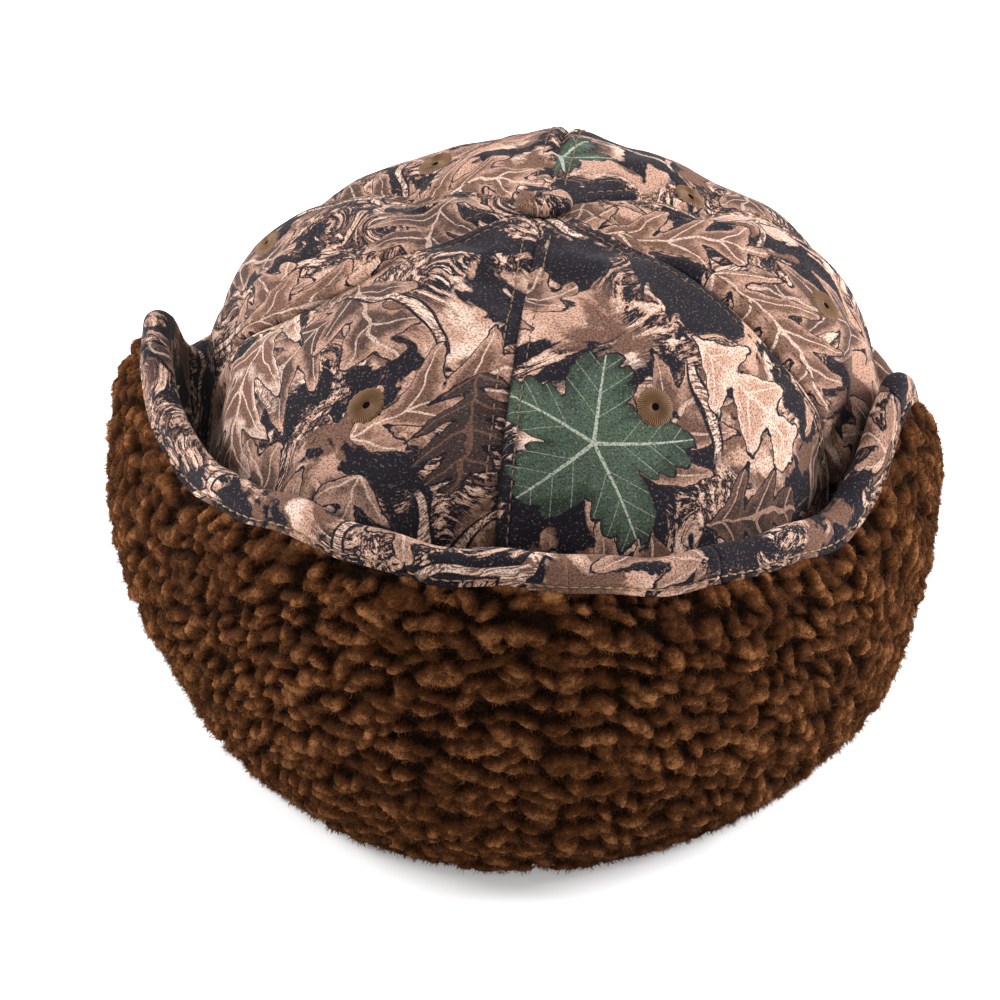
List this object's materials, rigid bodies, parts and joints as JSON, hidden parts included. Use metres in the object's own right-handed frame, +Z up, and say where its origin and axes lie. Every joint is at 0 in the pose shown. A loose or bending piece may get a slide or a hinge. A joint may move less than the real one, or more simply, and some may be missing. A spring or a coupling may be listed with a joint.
{
  "type": "trapper hat",
  "caption": "Six-panel printed cloth trapper hat with a covered top button, vent eyelets and a turned-up pile cuff that rises at the ears and folds down.",
  "frame": {"origin": "centre of the hat on the surface it stands on", "axes": "+Z up towards the top button, -Y towards the wearer's front, +X towards the wearer's left"},
  "size_m": [0.2316, 0.2515, 0.1506],
  "materials": {
    "printed_cloth": "matte",
    "pile": "matte",
    "wadding": "matte",
    "lining": "satin",
    "thread": "satin",
    "label": "matte",
    "plate": "satin",
    "snap": "aged"
  },
  "bodies": {
    "crown": {"crown_panel_front_left": "printed_cloth", "crown_panel_side_left": "printed_cloth", "crown_panel_back_left": "printed_cloth", "crown_panel_back_right": "printed_cloth", "crown_panel_side_right": "printed_cloth", "crown_panel_front_right": "printed_cloth", "eyelet_front_left": "thread", "eyelet_side_left": "thread", "eyelet_back_left": "thread", "eyelet_back_right": "thread", "eyelet_side_right": "thread", "eyelet_front_right": "thread", "crown_wadding": "wadding", "crown_lining": "lining", "headband_pile": "pile", "size_label": "label", "button_cap": "printed_cloth", "button_plate": "plate", "snap_stud_left": "snap", "snap_stud_right": "snap"},
    "cuff_00": {"cuff_facing_00": "printed_cloth", "cuff_pile_00": "pile"},
    "cuff_01": {"cuff_facing_01": "printed_cloth", "cuff_pile_01": "pile"},
    "cuff_02": {"cuff_facing_02": "printed_cloth", "cuff_pile_02": "pile"},
    "cuff_03": {"cuff_facing_03": "printed_cloth", "cuff_pile_03": "pile"},
    "cuff_04": {"cuff_facing_04": "printed_cloth", "cuff_pile_04": "pile", "snap_socket_left": "snap"},
    "cuff_05": {"cuff_facing_05": "printed_cloth", "cuff_pile_05": "pile"},
    "cuff_06": {"cuff_facing_06": "printed_cloth", "cuff_pile_06": "pile"},
    "cuff_07": {"cuff_facing_07": "printed_cloth", "cuff_pile_07": "pile"},
    "cuff_08": {"cuff_facing_08": "printed_cloth", "cuff_pile_08": "pile"},
    "cuff_09": {"cuff_facing_09": "printed_cloth", "cuff_pile_09": "pile"},
    "cuff_10": {"cuff_facing_10": "printed_cloth", "cuff_pile_10": "pile"},
    "cuff_11": {"cuff_facing_11": "printed_cloth", "cuff_pile_11": "pile"},
    "cuff_12": {"cuff_facing_12": "printed_cloth", "cuff_pile_12": "pile", "snap_socket_right": "snap"},
    "cuff_13": {"cuff_facing_13": "printed_cloth", "cuff_pile_13": "pile"},
    "cuff_14": {"cuff_facing_14": "printed_cloth", "cuff_pile_14": "pile"},
    "cuff_15": {"cuff_facing_15": "printed_cloth", "cuff_pile_15": "pile"}
  },
  "joints": [
    {"name": "cuff_fold", "type": "hinge", "parent": "crown", "child": "cuff_00", "pos_m": [0, -0.10396, 0.0045], "axis": [1, 0, 0], "range_deg": [0, 170]},
    {"name": "cuff_fold_01", "type": "hinge", "parent": "crown", "child": "cuff_01", "pos_m": [0.03084, -0.09605, 0.0045], "axis": [0.8845, 0.4665, 0], "range_deg": [0, 169.28]},
    {"name": "cuff_fold_02", "type": "hinge", "parent": "crown", "child": "cuff_02", "pos_m": [0.05826, -0.07351, 0.0045], "axis": [0.6472, 0.7623, 0], "range_deg": [0, 167.51]},
    {"name": "cuff_fold_03", "type": "hinge", "parent": "crown", "child": "cuff_03", "pos_m": [0.07861, -0.03979, 0.0045], "axis": [0.3836, 0.9235, 0], "range_deg": [0, 165.74]},
    {"name": "cuff_fold_04", "type": "hinge", "parent": "crown", "child": "cuff_04", "pos_m": [0.08827, 0, 0.0045], "axis": [0.083, 0.9966, 0], "range_deg": [0, 165.01]},
    {"name": "cuff_fold_05", "type": "hinge", "parent": "crown", "child": "cuff_05", "pos_m": [0.08449, 0.03979, 0.0045], "axis": [-0.2767, 0.961, 0], "range_deg": [0, 165.74]},
    {"name": "cuff_fold_06", "type": "hinge", "parent": "crown", "child": "cuff_06", "pos_m": [0.06657, 0.07351, 0.0045], "axis": [-0.6472, 0.7623, 0], "range_deg": [0, 167.51]},
    {"name": "cuff_fold_07", "type": "hinge", "parent": "crown", "child": "cuff_07", "pos_m": [0.03672, 0.09605, 0.0045], "axis": [-0.9106, 0.4132, 0], "range_deg": [0, 169.28]},
    {"name": "cuff_fold_08", "type": "hinge", "parent": "crown", "child": "cuff_08", "pos_m": [0, 0.10396, 0.0045], "axis": [-1, 0, 0], "range_deg": [0, 170.01]},
    {"name": "cuff_fold_09", "type": "hinge", "parent": "crown", "child": "cuff_09", "pos_m": [-0.03672, 0.09605, 0.0045], "axis": [-0.9106, -0.4132, 0], "range_deg": [0, 169.28]},
    {"name": "cuff_fold_10", "type": "hinge", "parent": "crown", "child": "cuff_10", "pos_m": [-0.06657, 0.07351, 0.0045], "axis": [-0.6472, -0.7623, 0], "range_deg": [0, 167.51]},
    {"name": "cuff_fold_11", "type": "hinge", "parent": "crown", "child": "cuff_11", "pos_m": [-0.08449, 0.03979, 0.0045], "axis": [-0.2767, -0.961, 0], "range_deg": [0, 165.74]},
    {"name": "cuff_fold_12", "type": "hinge", "parent": "crown", "child": "cuff_12", "pos_m": [-0.08827, 0, 0.0045], "axis": [0.083, -0.9966, 0], "range_deg": [0, 165.01]},
    {"name": "cuff_fold_13", "type": "hinge", "parent": "crown", "child": "cuff_13", "pos_m": [-0.07861, -0.03979, 0.0045], "axis": [0.3836, -0.9235, 0], "range_deg": [0, 165.74]},
    {"name": "cuff_fold_14", "type": "hinge", "parent": "crown", "child": "cuff_14", "pos_m": [-0.05826, -0.07351, 0.0045], "axis": [0.6472, -0.7623, 0], "range_deg": [0, 167.51]},
    {"name": "cuff_fold_15", "type": "hinge", "parent": "crown", "child": "cuff_15", "pos_m": [-0.03084, -0.09605, 0.0045], "axis": [0.8845, -0.4665, 0], "range_deg": [0, 169.28]}
  ],
  "couplings": [
    {"joint": "cuff_fold_01", "follows": "cuff_fold", "ratio": 0.99569},
    {"joint": "cuff_fold_02", "follows": "cuff_fold", "ratio": 0.98529},
    {"joint": "cuff_fold_03", "follows": "cuff_fold", "ratio": 0.97489},
    {"joint": "cuff_fold_04", "follows": "cuff_fold", "ratio": 0.97059},
    {"joint": "cuff_fold_05", "follows": "cuff_fold", "ratio": 0.97489},
    {"joint": "cuff_fold_06", "follows": "cuff_fold", "ratio": 0.98529},
    {"joint": "cuff_fold_07", "follows": "cuff_fold", "ratio": 0.99569},
    {"joint": "cuff_fold_08", "follows": "cuff_fold", "ratio": 1},
    {"joint": "cuff_fold_09", "follows": "cuff_fold", "ratio": 0.99569},
    {"joint": "cuff_fold_10", "follows": "cuff_fold", "ratio": 0.98529},
    {"joint": "cuff_fold_11", "follows": "cuff_fold", "ratio": 0.97489},
    {"joint": "cuff_fold_12", "follows": "cuff_fold", "ratio": 0.97059},
    {"joint": "cuff_fold_13", "follows": "cuff_fold", "ratio": 0.97489},
    {"joint": "cuff_fold_14", "follows": "cuff_fold", "ratio": 0.98529},
    {"joint": "cuff_fold_15", "follows": "cuff_fold", "ratio": 0.99569}
  ]
}
